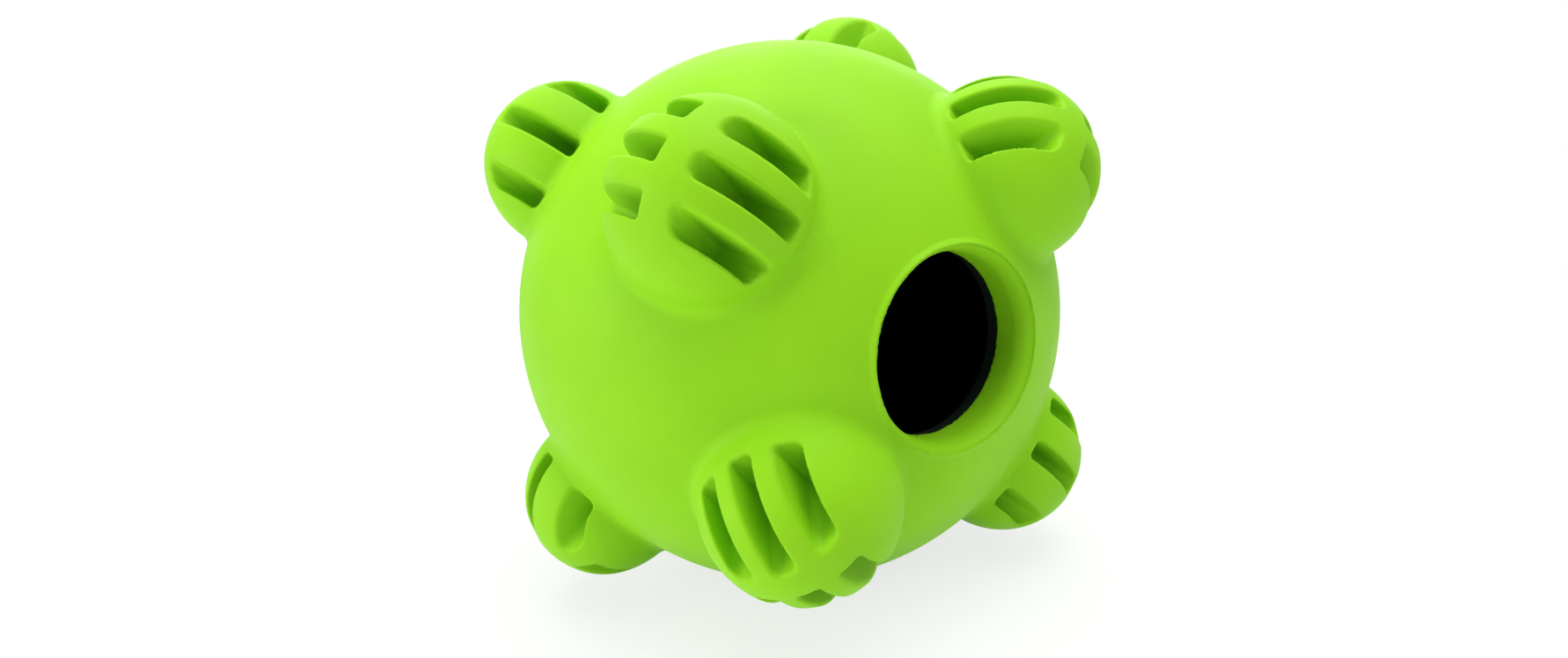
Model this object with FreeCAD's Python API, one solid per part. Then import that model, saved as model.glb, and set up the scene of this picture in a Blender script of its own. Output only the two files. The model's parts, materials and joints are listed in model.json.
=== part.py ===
import FreeCAD, Part
import math
import os

# Hollow rubber treat ball with eight slotted domes and one round mouth, in millimetres, +Z up.
# The ball stands on its round bottom, between its four lower domes. The mouth looks along -Y.
# The origin is on the floor, under the middle of the whole shape.

# Ball
BALL_RADIUS = 37.5
WALL = 5.2

# Domes: height above the ball, radius of the round top, fillet at the foot
DOME_HEIGHT = 10.5
DOME_RADIUS = 11.6
DOME_FILLET = 1.9

# Slots in each dome: three rows, each broken by the smooth band that runs over the dome's top
SLOT_ROWS = 3
SLOT_WIDTH = 2.65
SLOT_DEPTH = 10.8
BAND_NEAR = 3.6
BAND_FAR = 0.1

# Each dome: name, tilt from the mouth's axis, clock angle from up towards +X, then its slots: turn from
# the way to the mouth, lean of their depth towards the mouth, lean to the side, pitch of the rows
FRONT_DOMES = [
    ("upper left", 52, 310, 0.5, -8, 0, 5.4),
    ("upper right", 40.5, 40.5, -89, 0, 0, 5.5),
    ("lower right", 60.5, 135, -1, 0, 0, 7.2),
    ("lower left", 39.5, 230.5, 88, -4, -8, 5.1),
]
REAR_DOMES = [
    ("upper left", 111.5, 313.5, -1, 7, 0, 7.3),
    ("upper right", 103, 32, -88, 0, 0, 7.7),
    ("lower right", 120, 135, 0, 0, 0, 7.3),
    ("lower left", 104, 231, 81, 4, 0, 7.7),
]

# Mouth: bore through the rubber, countersunk land outside it, bead round its rim
MOUTH_RADIUS = 10.85
LAND_WIDTH = 0.8
LAND_DEPTH = 1.4
LIP_RADIUS = 0.6
LIP_PROUD = 0.3

# Bonded seam of the two shells, in front of the ball's middle, between the front and rear domes
SEAM_FORWARD = 5.25
TONGUE_THICKNESS = 1.8
TONGUE_LENGTH = 1.5
GLUE_GAP = 0.1

# Black treat chamber inside the rubber: two cups joined by a spigot
CHAMBER_WALL = 1.5
CHAMBER_CLEARANCE = 0.1
CHAMBER_MOUTH_RELIEF = 0.4
SPIGOT_LENGTH = 2.5
SPIGOT_CLEARANCE = 0.05

# How far a cutter reaches past the surface that it opens
CUTTER_SPARE = 2.0

# Worked out from the sizes above
DOME_CENTRE = BALL_RADIUS + DOME_HEIGHT - DOME_RADIUS
CAVITY_RADIUS = BALL_RADIUS - WALL
CHAMBER_OUTER = CAVITY_RADIUS - CHAMBER_CLEARANCE
CHAMBER_INNER = CHAMBER_OUTER - CHAMBER_WALL
RIM_RADIUS = MOUTH_RADIUS + LAND_WIDTH
RIM_FORWARD = math.sqrt(BALL_RADIUS**2 - RIM_RADIUS**2)
REACH = BALL_RADIUS + 2 * DOME_HEIGHT

FORWARD = FreeCAD.Vector(0, -1, 0)
UP = FreeCAD.Vector(0, 0, 1)
RIGHT = FreeCAD.Vector(1, 0, 0)


def direction(tilt, clock):
    """Unit vector at a tilt from the mouth's axis, at a clock angle from up."""
    t = math.radians(tilt)
    c = math.radians(clock)
    return FORWARD * math.cos(t) + (UP * math.cos(c) + RIGHT * math.sin(c)) * math.sin(t)


def square_to(axis, vector):
    """Unit vector square to an axis, as near as can be to another vector."""
    square = vector - axis * axis.dot(vector)
    square.normalize()
    return square


def slot_axes(out, turn, lean, lean_aside):
    """Directions of a dome's slots: out of their depth, along them and across them."""
    to_mouth = square_to(out, FORWARD)
    aside = out.cross(to_mouth)
    axis = out + to_mouth * math.tan(math.radians(lean)) + aside * math.tan(math.radians(lean_aside))
    axis.normalize()
    level = square_to(axis, to_mouth)
    a = math.radians(turn)
    along = level * math.cos(a) + axis.cross(level) * math.sin(a)
    return axis, along, axis.cross(along)


def disc(radius, forward, length):
    """Round bar on the mouth's axis, from a place in front of the middle, towards the mouth."""
    return Part.makeCylinder(radius, length, FORWARD * forward, FORWARD)


def on_dome_foot(edge, out):
    """True for an edge on the circle where a dome meets the ball."""
    middle = edge.valueAt((edge.FirstParameter + edge.LastParameter) / 2)
    off_ball = abs(middle.Length - BALL_RADIUS)
    off_dome = abs((middle - out * DOME_CENTRE).Length - DOME_RADIUS)
    return off_ball < 0.001 and off_dome < 0.001


def ball_with_domes():
    """Solid ball, its domes and the fillets at their feet."""
    outs = [direction(tilt, clock) for name, tilt, clock, *cut in FRONT_DOMES + REAR_DOMES]
    domes = [Part.makeSphere(DOME_RADIUS, out * DOME_CENTRE) for out in outs]
    body = Part.makeSphere(BALL_RADIUS).fuse(domes)
    feet = [edge for edge in body.Edges if any(on_dome_foot(edge, out) for out in outs)]
    return body.makeFillet(DOME_FILLET, feet)


def slots(tilt, clock, turn, lean, lean_aside, pitch):
    """Cutters for the slots of one dome: each row runs out through the dome's side both ways."""
    out = direction(tilt, clock)
    axis, along, across = slot_axes(out, turn, lean, lean_aside)
    floor = out * DOME_CENTRE + axis * (DOME_RADIUS - SLOT_DEPTH)
    cutters = []
    for row in range(SLOT_ROWS):
        offset = (row - (SLOT_ROWS - 1) / 2) * pitch
        corner = floor + across * (offset - SLOT_WIDTH / 2)
        for way, start in ((along, BAND_NEAR), (along * -1, BAND_FAR)):
            near = corner + way * start
            far = corner + way * (DOME_RADIUS + CUTTER_SPARE)
            outline = Part.makePolygon([
                near,
                far,
                far + across * SLOT_WIDTH,
                near + across * SLOT_WIDTH,
                near,
            ])
            cutters.append(Part.Face(outline).extrude(axis * (SLOT_DEPTH + CUTTER_SPARE)))
    return cutters


def mouth_lip():
    """Bead that stands a little proud of the ball round the mouth's rim."""
    rim_slope = BALL_RADIUS - LIP_RADIUS + LIP_PROUD
    ring_radius = RIM_RADIUS * rim_slope / BALL_RADIUS
    ring_forward = RIM_FORWARD * rim_slope / BALL_RADIUS
    return Part.makeTorus(ring_radius, LIP_RADIUS, FORWARD * ring_forward, FORWARD)


def mouth_cut():
    """Bore through the rubber, with the countersunk land that opens out to the rim."""
    bore = disc(MOUTH_RADIUS, 0, RIM_FORWARD - LAND_DEPTH)
    land = Part.makeCone(MOUTH_RADIUS, RIM_RADIUS, LAND_DEPTH, FORWARD * (RIM_FORWARD - LAND_DEPTH), FORWARD)
    outside = disc(RIM_RADIUS, RIM_FORWARD, REACH)
    return [bore, land, outside]


def rubber_body():
    """The whole rubber wall with domes, slots, mouth and cavity, before it is parted."""
    body = ball_with_domes().fuse(mouth_lip())
    cutters = mouth_cut()
    cutters.append(Part.makeSphere(CAVITY_RADIUS))
    for name, *place_and_cut in FRONT_DOMES + REAR_DOMES:
        cutters.extend(slots(*place_and_cut))
    return body.cut(cutters)


def seam_ring(gap):
    """Tongue of the seam, or its groove when the glue gap is added on every side."""
    middle = math.sqrt((BALL_RADIUS - WALL / 2)**2 - SEAM_FORWARD**2)
    outer = disc(middle + TONGUE_THICKNESS / 2 + gap, SEAM_FORWARD, TONGUE_LENGTH + gap)
    inner = disc(middle - TONGUE_THICKNESS / 2 - gap, SEAM_FORWARD, TONGUE_LENGTH + gap)
    return outer.cut(inner)


def shells():
    """Front and rear rubber mouldings, parted at the seam by a tongue in a groove."""
    body = rubber_body()
    ahead = disc(REACH, SEAM_FORWARD, REACH)
    front = body.common(ahead).cut(seam_ring(GLUE_GAP))
    rear = body.cut(ahead).fuse(seam_ring(0))
    return front, rear


def chamber():
    """Front and rear black cups: the front one's spigot sits in the rear one's socket."""
    wall = Part.makeSphere(CHAMBER_OUTER).cut(Part.makeSphere(CHAMBER_INNER))
    wall = wall.cut(disc(MOUTH_RADIUS + CHAMBER_MOUTH_RELIEF, 0, REACH))
    middle = CHAMBER_OUTER - CHAMBER_WALL / 2
    ahead = disc(REACH, 0, REACH)
    spigot = disc(middle - SPIGOT_CLEARANCE / 2, -SPIGOT_LENGTH, SPIGOT_LENGTH)
    socket = disc(middle + SPIGOT_CLEARANCE / 2, -SPIGOT_LENGTH - SPIGOT_CLEARANCE,
                  SPIGOT_LENGTH + SPIGOT_CLEARANCE)
    front = wall.common(ahead.fuse(spigot))
    rear = wall.cut(ahead).cut(socket)
    return front, rear


def finished(shape):
    """A piece's solid, taken out of the compound that its cuts left it in."""
    solids = shape.Solids
    return solids[0] if len(solids) == 1 else Part.makeCompound(solids)


def main():
    """Write each piece, with the origin on the floor under the middle of the whole shape."""
    front_shell, rear_shell = shells()
    chamber_front, chamber_rear = chamber()
    pieces = {
        "front_shell": finished(front_shell),
        "rear_shell": finished(rear_shell),
        "chamber_front": finished(chamber_front),
        "chamber_rear": finished(chamber_rear),
    }
    whole = Part.makeCompound(list(pieces.values())).optimalBoundingBox(False)
    floor_point = FreeCAD.Vector(whole.Center.x, whole.Center.y, whole.ZMin)
    os.makedirs("parts", exist_ok=True)
    for name, solid in pieces.items():
        placed = solid.translated(floor_point * -1)
        placed.exportStep("parts/" + name + ".step")
        print(name, "valid", placed.isValid(), "volume", round(placed.Volume, 1))
    print("size", round(whole.XLength, 3), round(whole.YLength, 3), round(whole.ZLength, 3))
    print("ball centre", [round(-value, 4) for value in floor_point])


main()
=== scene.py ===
import json
import math

import bmesh
import bpy
import numpy as np
from mathutils import Matrix, Vector

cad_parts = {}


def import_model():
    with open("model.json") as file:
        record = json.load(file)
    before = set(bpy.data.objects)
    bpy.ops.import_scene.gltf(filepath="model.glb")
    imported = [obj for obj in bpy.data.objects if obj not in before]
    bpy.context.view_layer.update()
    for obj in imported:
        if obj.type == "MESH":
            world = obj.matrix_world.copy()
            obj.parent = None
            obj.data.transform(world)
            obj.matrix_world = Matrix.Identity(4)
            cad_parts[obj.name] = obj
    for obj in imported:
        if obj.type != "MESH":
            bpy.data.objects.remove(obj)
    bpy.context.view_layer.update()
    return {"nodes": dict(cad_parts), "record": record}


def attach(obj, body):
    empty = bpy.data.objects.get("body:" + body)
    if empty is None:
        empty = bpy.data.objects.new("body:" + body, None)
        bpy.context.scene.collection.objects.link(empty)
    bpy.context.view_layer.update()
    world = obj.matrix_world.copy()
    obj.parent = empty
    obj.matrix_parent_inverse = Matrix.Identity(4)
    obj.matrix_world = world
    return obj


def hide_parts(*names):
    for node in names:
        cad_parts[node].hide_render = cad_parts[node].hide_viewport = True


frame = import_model()

MM = 0.001

# The ball's own sizes, in millimetres from its centre, as the solids have them
BALL_RADIUS = 37.5
CAVITY_RADIUS = 32.3
DOME_RADIUS = 11.6
DOME_HEIGHT = 10.5
DOME_FILLET = 1.9
SLOT_WIDTH = 2.65
SLOT_DEPTH = 10.8
BAND_NEAR = 3.6
BAND_FAR = 0.1
MOUTH_RADIUS = 10.85
LAND_WIDTH = 0.8
LAND_DEPTH = 1.4
LIP_RADIUS = 0.6
LIP_PROUD = 0.3
SEAM_FORWARD = 5.25
TONGUE_THICKNESS = 1.8
TONGUE_LENGTH = 1.5
GLUE_GAP = 0.1

# Tilt from the mouth's axis, clock angle from up towards +X, then the slots' turn, lean towards the mouth,
# lean to the side and pitch
DOMES = [
    (52, 310, 0.5, -8, 0, 5.4),
    (40.5, 40.5, -89, 0, 0, 5.5),
    (60.5, 135, -1, 0, 0, 7.2),
    (39.5, 230.5, 88, -4, -8, 5.1),
    (111.5, 313.5, -1, 7, 0, 7.3),
    (103, 32, -88, 0, 0, 7.7),
    (120, 135, 0, 0, 0, 7.3),
    (104, 231, 81, 4, 0, 7.7),
]

# Moulded edges: how far each kind is rounded
SLOT_EDGE = 0.45
SLOT_FLOOR = 0.6
SLOT_END_NEAR = 1.0
SLOT_END_FAR = 0.35
RIM_EDGE = 0.2
LAND_EDGE = 0.5
LIP_BLEND = 0.4

DOME_CENTRE = BALL_RADIUS + DOME_HEIGHT - DOME_RADIUS
RIM_RADIUS = MOUTH_RADIUS + LAND_WIDTH
RIM_FORWARD = math.sqrt(BALL_RADIUS**2 - RIM_RADIUS**2)
LAND_FORWARD = RIM_FORWARD - LAND_DEPTH
BORE_FORWARD = math.sqrt(CAVITY_RADIUS**2 - MOUTH_RADIUS**2)

# How far round a dome's top its slots and its foot reach
DOME_SPARE = 6.0

FORWARD = np.array([0.0, -1.0, 0.0])
UP = np.array([0.0, 0.0, 1.0])
RIGHT = np.array([1.0, 0.0, 0.0])

# The mouth's mount lies halfway along its bore, on the ball's axis
mouth = next(m for m in frame["record"]["mounts"] if m["name"] == "mouth")
CENTRE = np.array(mouth["pos_m"]) / MM - FORWARD * (BORE_FORWARD + LAND_FORWARD) / 2

# The rubber's mesh: step of its grid, share of its faces kept, shortest edge, points round the seam
VOXEL = 0.3
KEEP_FACES = 0.26
LEAST_EDGE = 0.05
SEAM_STEPS = 256

# Distances in the grid: of a point far from any surface, and of one moved just off a tangle
FAR = 1.0
HAIR = 1e-4

# How many times the grid is gone over for tangles, and its points are moved onto the surface
UNTANGLE_TURNS = 2
SETTLE_TURNS = 3

# Half the distance that a slope is measured over, and the least rise that gives one
SLOPE_STEP = 0.02
LEAST_RISE = 1e-12

# Colours as the surfaces have them, without the light
LIME = (0.265, 0.62, 0.012, 1)
LIME_DEEP = (0.245, 0.58, 0.01, 1)
BLACK = (0.008, 0.013, 0.01, 1)
PAPER = (0.9, 0.9, 0.9, 1)
WHITE = (1, 1, 1, 1)

# Surfaces: sheen, roughness from low to high, sizes of the patches of colour and roughness, fine grain
SPECULAR = 0.1
RUBBER_ROUGHNESS = (0.5, 0.6)
RUBBER_CLOUDS = 14
RUBBER_PATCHES = 5
RUBBER_GRAIN = 0.35
RUBBER_RELIEF = 0.35
PLASTIC_ROUGHNESS = (0.6, 0.7)
PLASTIC_PATCHES = 4
PLASTIC_GRAIN = 0.4
PLASTIC_RELIEF = 0.4
GRAIN_DEPTH = 0.02
GRAIN_DETAIL = 3.0
PATCH_DETAIL = 2.0
NOISE_MIDDLE = (0.3, 0.7)

# Studio, in metres: floor, how far the shadow shows on it, even light from all sides, and lamps as name,
# azimuth, elevation, distance, size and power
FLOOR_RADIUS = 2.5
FLOOR_SEGMENTS = 96
FLOOR_GLOW = 0.75
SHADOW_REACH = 0.25
WORLD_LIGHT = 0.17
LAMPS = [
    ("left", -100, 5, 0.7, 0.5, 4.2),
    ("key", -31, 55, 0.7, 0.6, 0.5),
    ("top", -31, 88, 0.7, 0.6, 4.6),
    ("right", 40, 60, 0.7, 0.6, 2.2),
    ("back", 150, 30, 0.7, 0.6, 1.5),
]

# The camera: where it stands and how it is rolled, in degrees, the ball's place in its own axes (right, up,
# back), focal length and sensor in millimetres, and the nearest distance it sees in metres
CAMERA_AZIMUTH = -30.69
CAMERA_ELEVATION = 12.4
CAMERA_ROLL = -5.47
BALL_IN_VIEW = (0.76, 2.49, -127.28)
FOCAL_LENGTH = 20.14
SENSOR_WIDTH = 36.0
CLIP_START = 0.01


def length(*parts):
    """Length of a vector given by its parts."""
    return np.sqrt(sum(part * part for part in parts))


def rounded_meet(first, second, radius):
    """Distance to what two solids share, with the edge between them rounded."""
    corner = length(np.maximum(first + radius, 0), np.maximum(second + radius, 0))
    return np.minimum(-radius, np.maximum(first, second)) + corner


def rounded_join(first, second, radius):
    """Distance to two solids joined, with a small fillet between them."""
    corner = length(np.maximum(radius - first, 0), np.maximum(radius - second, 0))
    return np.maximum(radius, np.minimum(first, second)) - corner


def square_to(axis, vector):
    """Unit vector square to an axis, as near as can be to another vector."""
    square = vector - axis * (axis @ vector)
    return square / np.linalg.norm(square)


def dome_frame(tilt, clock, turn, lean, lean_aside, pitch):
    """A dome's outward axis, the directions of its slots' depth, length and width, and their pitch."""
    tilt, clock, turn = (math.radians(angle) for angle in (tilt, clock, turn))
    out = FORWARD * math.cos(tilt) + (UP * math.cos(clock) + RIGHT * math.sin(clock)) * math.sin(tilt)
    to_mouth = square_to(out, FORWARD)
    aside = np.cross(out, to_mouth)
    axis = out + to_mouth * math.tan(math.radians(lean)) + aside * math.tan(math.radians(lean_aside))
    axis /= np.linalg.norm(axis)
    level = square_to(axis, to_mouth)
    along = level * math.cos(turn) + np.cross(axis, level) * math.sin(turn)
    return out, axis, along, np.cross(axis, along), pitch


def dome_distance(points, out, axis, along, across, pitch):
    """Distance to the ball with one slotted dome and the fillet at its foot."""
    height = points @ out
    ball = length(*points.T) - BALL_RADIUS
    radial = length(*(points - np.outer(height, out)).T)
    dome = length(radial, height - DOME_CENTRE) - DOME_RADIUS
    reach, top = BALL_RADIUS + DOME_FILLET, DOME_RADIUS + DOME_FILLET
    fillet_height = (reach**2 - top**2 + DOME_CENTRE**2) / (2 * DOME_CENTRE)
    fillet_radial = math.sqrt(reach**2 - fillet_height**2)
    beside, above = radial - fillet_radial, height - fillet_height
    below_dome = beside * (DOME_CENTRE - fillet_height) + above * fillet_radial < 0
    above_ball = -beside * fillet_height + above * fillet_radial > 0
    fillet = DOME_FILLET - length(beside, above)
    solid = np.where(below_dome & above_ball, fillet, np.minimum(ball, dome))
    inner = points - out * DOME_CENTRE
    slots = slot_distance(inner @ across, inner @ along, inner @ axis, pitch)
    return rounded_meet(solid, -slots, SLOT_EDGE)


def slot_distance(across, along, height, pitch):
    """Distance to the space of a dome's slots: three rows, each stopped by the band over the top."""
    row = np.clip(np.round(across / pitch), -1, 1)
    side = np.abs(across - row * pitch) - SLOT_WIDTH / 2
    near = rounded_meet(side, BAND_NEAR - along, SLOT_END_NEAR)
    far = rounded_meet(side, BAND_FAR + along, SLOT_END_FAR)
    floor = DOME_RADIUS - SLOT_DEPTH - height
    return rounded_meet(np.minimum(near, far), floor, SLOT_FLOOR)


def mouth_distance(radial, forward):
    """Distance to the space of the mouth: its bore, and the land that opens out to the rim."""
    slope = LAND_WIDTH / LAND_DEPTH
    bore = radial - MOUTH_RADIUS
    land = (bore - (forward - LAND_FORWARD) * slope) / math.hypot(1, slope)
    return np.maximum(rounded_join(bore, land, LAND_EDGE), radial - RIM_RADIUS)


def rubber_distance(points):
    """Distance from each point to the whole rubber wall; negative inside the rubber."""
    from_centre = length(*points.T)
    solid = from_centre - BALL_RADIUS
    for out, *cut in DOME_FRAMES:
        near = np.flatnonzero(length(*(points - out * DOME_CENTRE).T) < DOME_RADIUS + DOME_SPARE)
        if len(near):
            solid[near] = dome_distance(points[near], out, *cut)
    radial, forward = length(points @ RIGHT, points @ UP), points @ FORWARD
    mouth_side = np.flatnonzero(forward > 0)
    if len(mouth_side):
        radial, forward, ball = radial[mouth_side], forward[mouth_side], solid[mouth_side]
        ring = 1 - (LIP_RADIUS - LIP_PROUD) / BALL_RADIUS
        bead = length(radial - RIM_RADIUS * ring, forward - RIM_FORWARD * ring) - LIP_RADIUS
        ball = rounded_join(ball, bead, LIP_BLEND)
        solid[mouth_side] = rounded_meet(ball, -mouth_distance(radial, forward), RIM_EDGE)
    return np.maximum(solid, CAVITY_RADIUS - from_centre)


def slope_of(distance, points):
    """Unit direction in which a distance grows, at each point."""
    rise = np.stack([
        distance(points + axis * SLOPE_STEP) - distance(points - axis * SLOPE_STEP)
        for axis in np.eye(3)
    ], axis=1)
    return rise / np.maximum(np.linalg.norm(rise, axis=1, keepdims=True), LEAST_RISE)


def sampled(distance, low, counts, step):
    """A grid of distances, worked out layer by layer, only where a surface can be."""
    y, z = np.meshgrid(low[1] + np.arange(counts[1]) * step, low[2] + np.arange(counts[2]) * step,
                       indexing="ij")
    grid = np.empty(counts, np.float32)
    for i in range(counts[0]):
        layer = np.stack([np.full(y.size, low[0] + i * step), y.ravel(), z.ravel()], axis=1)
        away = np.linalg.norm(layer, axis=1)
        values = np.full(y.size, FAR)
        near = (away > CAVITY_RADIUS - 2 * step) & (away < BALL_RADIUS + DOME_HEIGHT + 2 * step)
        values[near] = distance(layer[near])
        grid[i] = values.reshape(y.shape)
    return grid


def untangled(grid):
    """The grid with no square whose corners change sign by turns, where a surface would meet itself."""
    for one, two in ((0, 1), (1, 2), (2, 0)) * UNTANGLE_TURNS:
        ring = []
        for up_one, up_two in ((0, 0), (1, 0), (1, 1), (0, 1)):
            place = [slice(None)] * 3
            place[one] = slice(up_one, grid.shape[one] - 1 + up_one)
            place[two] = slice(up_two, grid.shape[two] - 1 + up_two)
            ring.append(grid[tuple(place)])
        inside = [corner < 0 for corner in ring]
        crossed = (inside[0] == inside[2]) & (inside[1] == inside[3]) & (inside[0] != inside[1])
        for square in map(tuple, np.argwhere(crossed)):
            least = min(ring, key=lambda corner: abs(corner[square]))
            least[square] = math.copysign(HAIR, -least[square])
    return grid


def zero_surface(grid, low, step):
    """Points and four-sided faces of a grid's zero surface: one point in each cell that it crosses."""
    inside = grid < 0
    shape = np.array(grid.shape) - 1
    corners = [(a, b, c) for a in (0, 1) for b in (0, 1) for c in (0, 1)]
    count = np.zeros(shape, np.uint8)
    for corner in corners:
        count += inside[tuple(slice(start, start + size) for start, size in zip(corner, shape))]
    cells = np.argwhere((count > 0) & (count < len(corners)))
    number = np.full(shape, -1, np.int32)
    number[tuple(cells.T)] = np.arange(len(cells))
    total, crossings = np.zeros((len(cells), 3)), np.zeros(len(cells))
    for corner in corners:
        for axis in range(3):
            if corner[axis]:
                continue
            start = cells + corner
            end = start.copy()
            end[:, axis] += 1
            a, b = grid[tuple(start.T)], grid[tuple(end.T)]
            crossed = (a < 0) != (b < 0)
            share = a[crossed] / (a[crossed] - b[crossed])
            place = start[crossed].astype(float)
            place[:, axis] += share
            total[crossed] += place
            crossings[crossed] += 1
    points = total / crossings[:, None] * step + low
    faces = []
    for axis in range(3):
        one, two = (axis + 1) % 3, (axis + 2) % 3
        ahead = np.roll(inside, -1, axis)
        changes = ahead != inside
        changes[tuple(slice(-1, None) if i == axis else slice(None) for i in range(3))] = False
        edges = np.argwhere(changes)
        outward = inside[tuple(edges.T)]
        ring = []
        for back_one, back_two in ((1, 1), (0, 1), (0, 0), (1, 0)):
            cell = edges.copy()
            cell[:, one] -= back_one
            cell[:, two] -= back_two
            ring.append(number[tuple(cell.T)])
        ring = np.stack(ring, axis=1)
        ring[~outward] = ring[~outward][:, ::-1]
        faces.append(ring)
    return points, np.concatenate(faces)


def settled(points, distance, step):
    """Points moved onto the zero surface, by at most half a step each time."""
    for _ in range(SETTLE_TURNS):
        gap = np.clip(distance(points), -step / 2, step / 2)
        points = points - slope_of(distance, points) * gap[:, None]
    return points


def mesh_object(name, points, faces):
    """A mesh in the row's frame from points in millimetres about the ball's centre."""
    mesh = bpy.data.meshes.new(name)
    mesh.from_pydata(((points + CENTRE) * MM).tolist(), [], faces.tolist())
    mesh.shade_smooth()
    piece = bpy.data.objects.new(name, mesh)
    bpy.context.scene.collection.objects.link(piece)
    return piece


def rubber_wall():
    """The whole rubber wall as one closed mesh, with fewer faces where it is smooth."""
    reach = BALL_RADIUS + DOME_HEIGHT
    low = np.array([-reach, -reach, -reach])
    counts = [int(2 * reach / VOXEL) + 1] * 3
    grid = untangled(sampled(rubber_distance, low, counts, VOXEL))
    points, faces = zero_surface(grid, low, VOXEL)
    wall = mesh_object("rubber_wall", settled(points, rubber_distance, VOXEL), faces)
    fewer = wall.modifiers.new("fewer", "DECIMATE")
    fewer.ratio = KEEP_FACES
    graph = bpy.context.evaluated_depsgraph_get()
    wall.data = bpy.data.meshes.new_from_object(wall.evaluated_get(graph))
    wall.modifiers.clear()
    return wall


def about_axis(vert):
    """A vertex's angle about the mouth's axis, and its distance from that axis in millimetres."""
    x, z = (vert.co.x / MM - CENTRE[0]), (vert.co.z / MM - CENTRE[2])
    return math.atan2(z, x), math.hypot(x, z)


def ring_of(made, radius, forward):
    """A ring of new vertices about the mouth's axis."""
    verts = []
    for step in range(SEAM_STEPS):
        angle = 2 * math.pi * (step + 0.5) / SEAM_STEPS - math.pi
        offset = RIGHT * radius * math.cos(angle) + UP * radius * math.sin(angle) + FORWARD * forward
        verts.append(made.verts.new((CENTRE + offset) * MM))
    return verts


def joined(made, first, second):
    """Triangles between two rings of vertices, each in order of its angle."""
    angles = [[about_axis(vert)[0] for vert in ring] for ring in (first, second)]
    i = j = 0
    while i < len(first) or j < len(second):
        a = angles[0][i % len(first)] + 2 * math.pi * (i // len(first))
        b = angles[1][j % len(second)] + 2 * math.pi * (j // len(second))
        one, other = first[i % len(first)], second[j % len(second)]
        if j == len(second) or (i < len(first) and a <= b):
            i += 1
            made.faces.new((one, first[i % len(first)], other))
        else:
            j += 1
            made.faces.new((one, second[j % len(second)], other))


def shell(wall, name, ahead):
    """One rubber shell: the wall on one side of the seam, closed by its groove or its tongue."""
    made = bmesh.new()
    made.from_mesh(wall.data)
    everything = made.verts[:] + made.edges[:] + made.faces[:]
    seam = Vector((CENTRE + FORWARD * SEAM_FORWARD) * MM)
    bmesh.ops.bisect_plane(made, geom=everything, plane_co=seam, plane_no=FORWARD,
                           clear_inner=ahead, clear_outer=not ahead)
    rims = {vert for edge in made.edges if edge.is_boundary for vert in edge.verts}
    middle = math.sqrt((BALL_RADIUS + CAVITY_RADIUS)**2 / 4 - SEAM_FORWARD**2)
    outer = sorted((v for v in rims if about_axis(v)[1] > middle), key=about_axis)
    inner = sorted((v for v in rims if about_axis(v)[1] < middle), key=about_axis)
    spare = GLUE_GAP if ahead else 0
    far = SEAM_FORWARD + TONGUE_LENGTH + spare
    wide, narrow = middle + TONGUE_THICKNESS / 2 + spare, middle - TONGUE_THICKNESS / 2 - spare
    step = [(wide, SEAM_FORWARD), (wide, far), (narrow, far), (narrow, SEAM_FORWARD)]
    rings = [outer, *(ring_of(made, radius, forward) for radius, forward in step), inner]
    for first, second in zip(rings, rings[1:]):
        joined(made, first, second)
    bmesh.ops.remove_doubles(made, verts=made.verts[:], dist=LEAST_EDGE * MM)
    bmesh.ops.recalc_face_normals(made, faces=made.faces[:])
    bmesh.ops.triangulate(made, faces=made.faces[:])
    mesh = bpy.data.meshes.new(name)
    made.to_mesh(mesh)
    made.free()
    piece = bpy.data.objects.new(name, mesh)
    bpy.context.scene.collection.objects.link(piece)
    return piece


def shade_as_rubber(piece):
    """Shade a shell's skin by the true slope of the rubber, and its seam's faces flat."""
    mesh = piece.data
    places = np.empty(len(mesh.vertices) * 3)
    mesh.vertices.foreach_get("co", places)
    slopes = slope_of(rubber_distance, places.reshape(-1, 3) / MM - CENTRE)
    corners = np.empty(len(mesh.loops), np.int32)
    mesh.loops.foreach_get("vertex_index", corners)
    normals = slopes[corners]
    for face in mesh.polygons:
        if not face.use_smooth:
            normals[list(face.loop_indices)] = face.normal
    mesh.normals_split_custom_set(normals.tolist())


def noise(nodes, links, place, size, detail):
    """Noise whose patches are about the given size in millimetres."""
    node = nodes.new("ShaderNodeTexNoise")
    node.inputs["Scale"].default_value = 1 / (size * MM)
    node.inputs["Detail"].default_value = detail
    links.new(place, node.inputs["Vector"])
    return node.outputs["Fac"]


def spread(nodes, links, value, low, high):
    """A noise's middle range spread from one value to another."""
    node = nodes.new("ShaderNodeMapRange")
    node.inputs["From Min"].default_value, node.inputs["From Max"].default_value = NOISE_MIDDLE
    node.inputs["To Min"].default_value = low
    node.inputs["To Max"].default_value = high
    links.new(value, node.inputs["Value"])
    return node.outputs["Result"]


def moulded_material(name, colour, roughness, patches, grain, relief):
    """A matte surface with an uneven sheen and a fine grain, and its nodes, links, shader and place."""
    made = bpy.data.materials.new(name)
    made.use_nodes = True
    nodes, links = made.node_tree.nodes, made.node_tree.links
    shader = nodes["Principled BSDF"]
    shader.inputs["Base Color"].default_value = colour
    shader.inputs["Specular IOR Level"].default_value = SPECULAR
    place = nodes.new("ShaderNodeTexCoord").outputs["Object"]
    sheen = spread(nodes, links, noise(nodes, links, place, patches, PATCH_DETAIL), *roughness)
    links.new(sheen, shader.inputs["Roughness"])
    bump = nodes.new("ShaderNodeBump")
    bump.inputs["Strength"].default_value = relief
    bump.inputs["Distance"].default_value = GRAIN_DEPTH * MM
    links.new(noise(nodes, links, place, grain, GRAIN_DETAIL), bump.inputs["Height"])
    links.new(bump.outputs["Normal"], shader.inputs["Normal"])
    return made, nodes, links, shader, place


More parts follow.
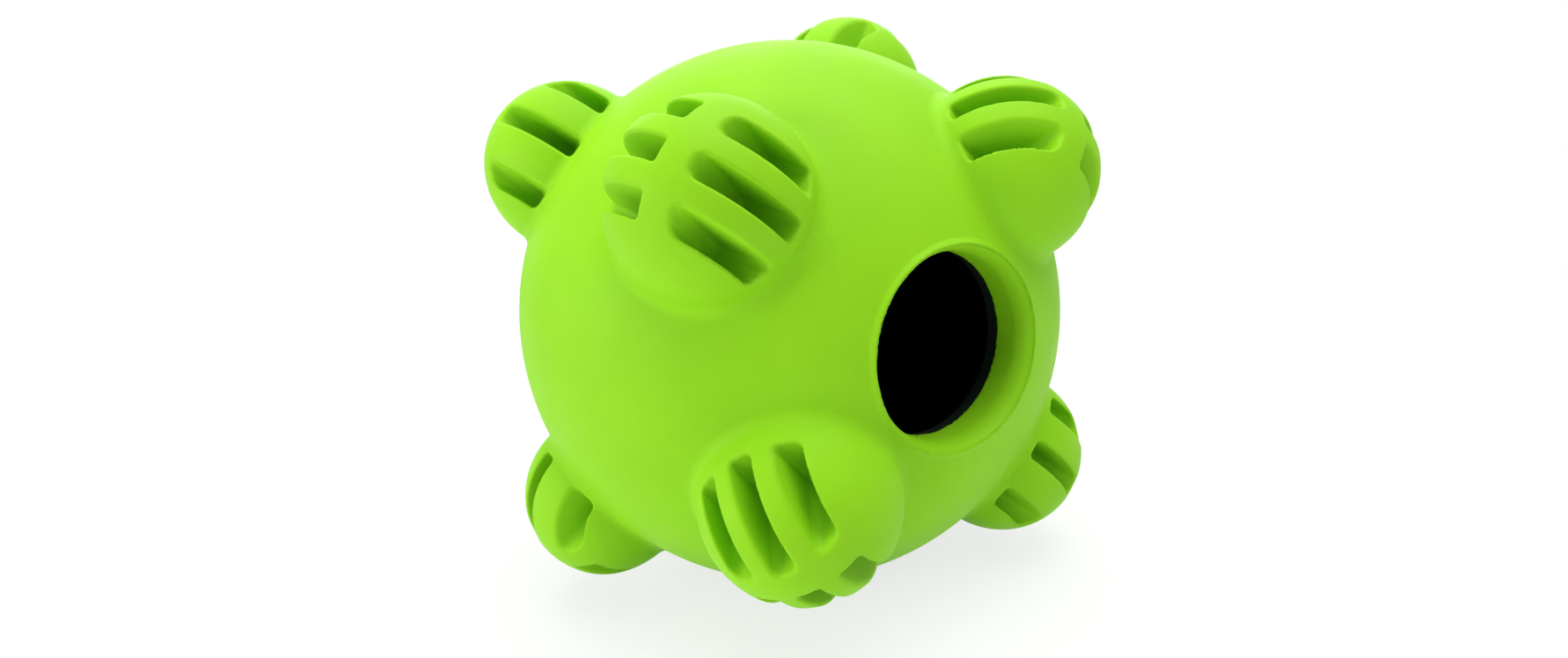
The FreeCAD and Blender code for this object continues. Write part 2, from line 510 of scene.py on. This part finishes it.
def rubber_material():
    """Matte lime rubber, with a faint clouding of its colour."""
    made, nodes, links, shader, place = moulded_material(
        "lime_rubber", LIME, RUBBER_ROUGHNESS, RUBBER_PATCHES, RUBBER_GRAIN, RUBBER_RELIEF)
    clouds = spread(nodes, links, noise(nodes, links, place, RUBBER_CLOUDS, PATCH_DETAIL), 0, 1)
    colour = nodes.new("ShaderNodeMix")
    colour.data_type = "RGBA"
    colour.inputs["A"].default_value = LIME_DEEP
    colour.inputs["B"].default_value = LIME
    links.new(clouds, colour.inputs["Factor"])
    links.new(colour.outputs["Result"], shader.inputs["Base Color"])
    return made


def chamber_material():
    """Matte black moulded plastic."""
    made, *_ = moulded_material(
        "black_plastic", BLACK, PLASTIC_ROUGHNESS, PLASTIC_PATCHES, PLASTIC_GRAIN, PLASTIC_RELIEF)
    return made


def sees_background(nodes, links):
    """One for a ray that sees the plain background: the camera's, or one off or through a shiny surface."""
    path = nodes.new("ShaderNodeLightPath")
    seen = path.outputs["Is Camera Ray"]
    for kind in ("Is Glossy Ray", "Is Transmission Ray"):
        either = nodes.new("ShaderNodeMath")
        either.operation = "MAXIMUM"
        links.new(seen, either.inputs[0])
        links.new(path.outputs[kind], either.inputs[1])
        seen = either.outputs["Value"]
    return seen


def floor_material():
    """Pale floor that the camera sees nearly white, with a soft shadow near the ball."""
    made = bpy.data.materials.new("pale_floor")
    made.use_nodes = True
    nodes, links = made.node_tree.nodes, made.node_tree.links
    nodes.clear()
    paper = nodes.new("ShaderNodeBsdfDiffuse")
    paper.inputs["Color"].default_value = PAPER
    plain = nodes.new("ShaderNodeEmission")
    plain.inputs["Color"].default_value = WHITE
    away = nodes.new("ShaderNodeVectorMath")
    away.operation = "LENGTH"
    links.new(nodes.new("ShaderNodeTexCoord").outputs["Object"], away.inputs[0])
    glow = nodes.new("ShaderNodeMapRange")
    glow.inputs["From Max"].default_value = SHADOW_REACH
    glow.inputs["To Min"].default_value = FLOOR_GLOW
    links.new(away.outputs["Value"], glow.inputs["Value"])
    share = nodes.new("ShaderNodeMath")
    share.operation = "MULTIPLY"
    links.new(sees_background(nodes, links), share.inputs[0])
    links.new(glow.outputs["Result"], share.inputs[1])
    mix = nodes.new("ShaderNodeMixShader")
    links.new(share.outputs["Value"], mix.inputs["Fac"])
    links.new(paper.outputs["BSDF"], mix.inputs[1])
    links.new(plain.outputs["Emission"], mix.inputs[2])
    links.new(mix.outputs["Shader"], nodes.new("ShaderNodeOutputMaterial").inputs["Surface"])
    return made


def floor():
    """Round floor under the ball, level with its lowest point."""
    made = bmesh.new()
    bmesh.ops.create_circle(made, cap_ends=True, segments=FLOOR_SEGMENTS, radius=FLOOR_RADIUS)
    mesh = bpy.data.meshes.new("floor")
    made.to_mesh(mesh)
    made.free()
    mesh.materials.append(floor_material())
    ground = bpy.data.objects.new("floor", mesh)
    bpy.context.scene.collection.objects.link(ground)


def soft_box(name, azimuth, elevation, distance, size, power):
    """Square studio light that faces the ball, placed round it by azimuth from the front towards +X, and by
    elevation.
    """
    data = bpy.data.lights.new(name, "AREA")
    data.shape = "SQUARE"
    data.size = size
    data.energy = power
    lamp = bpy.data.objects.new(name, data)
    azimuth, elevation = math.radians(azimuth), math.radians(elevation)
    level = math.cos(elevation)
    away = Vector((math.sin(azimuth) * level, -math.cos(azimuth) * level, math.sin(elevation)))
    lamp.location = Vector(CENTRE * MM) + away * distance
    lamp.rotation_euler = away.to_track_quat("Z", "Y").to_euler()
    lamp.visible_camera = False
    bpy.context.scene.collection.objects.link(lamp)


def world():
    """Plain white surroundings that give an even light from all sides."""
    made = bpy.data.worlds.new("studio")
    made.use_nodes = True
    nodes, links = made.node_tree.nodes, made.node_tree.links
    nodes.clear()
    light = nodes.new("ShaderNodeBackground")
    light.inputs["Color"].default_value = WHITE
    light.inputs["Strength"].default_value = WORLD_LIGHT
    backdrop = nodes.new("ShaderNodeBackground")
    backdrop.inputs["Color"].default_value = WHITE
    backdrop.inputs["Strength"].default_value = 1
    mix = nodes.new("ShaderNodeMixShader")
    links.new(sees_background(nodes, links), mix.inputs["Fac"])
    links.new(light.outputs["Background"], mix.inputs[1])
    links.new(backdrop.outputs["Background"], mix.inputs[2])
    links.new(mix.outputs["Shader"], nodes.new("ShaderNodeOutputWorld").inputs["Surface"])
    bpy.context.scene.world = made


def camera():
    """The photograph's camera."""
    data = bpy.data.cameras.new("camera")
    data.sensor_fit = "HORIZONTAL"
    data.sensor_width = SENSOR_WIDTH
    data.lens = FOCAL_LENGTH
    data.clip_start = CLIP_START
    eye = bpy.data.objects.new("camera", data)
    turn = (Matrix.Rotation(math.radians(CAMERA_AZIMUTH), 4, "Z")
            @ Matrix.Rotation(math.radians(90 - CAMERA_ELEVATION), 4, "X")
            @ Matrix.Rotation(math.radians(CAMERA_ROLL), 4, "Z"))
    place = Vector(CENTRE * MM) - turn.to_3x3() @ (Vector(BALL_IN_VIEW) * MM)
    eye.matrix_world = Matrix.Translation(place) @ turn
    bpy.context.scene.collection.objects.link(eye)
    bpy.context.scene.camera = eye


camera()
world()
floor()
for lamp in LAMPS:
    soft_box(*lamp)
bpy.context.scene.view_settings.view_transform = "Standard"

DOME_FRAMES = [dome_frame(*dome) for dome in DOMES]
wall = rubber_wall()
rubber = rubber_material()
for name, ahead in (("front_shell", True), ("rear_shell", False)):
    skin = shell(wall, name + "_skin", ahead)
    shade_as_rubber(skin)
    skin.data.materials.append(rubber)
    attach(skin, "root")
    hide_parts(name)
bpy.data.objects.remove(wall)

plastic = chamber_material()
for name in ("chamber_front", "chamber_rear"):
    cup = frame["nodes"][name].data.materials
    cup.clear()
    cup.append(plastic)
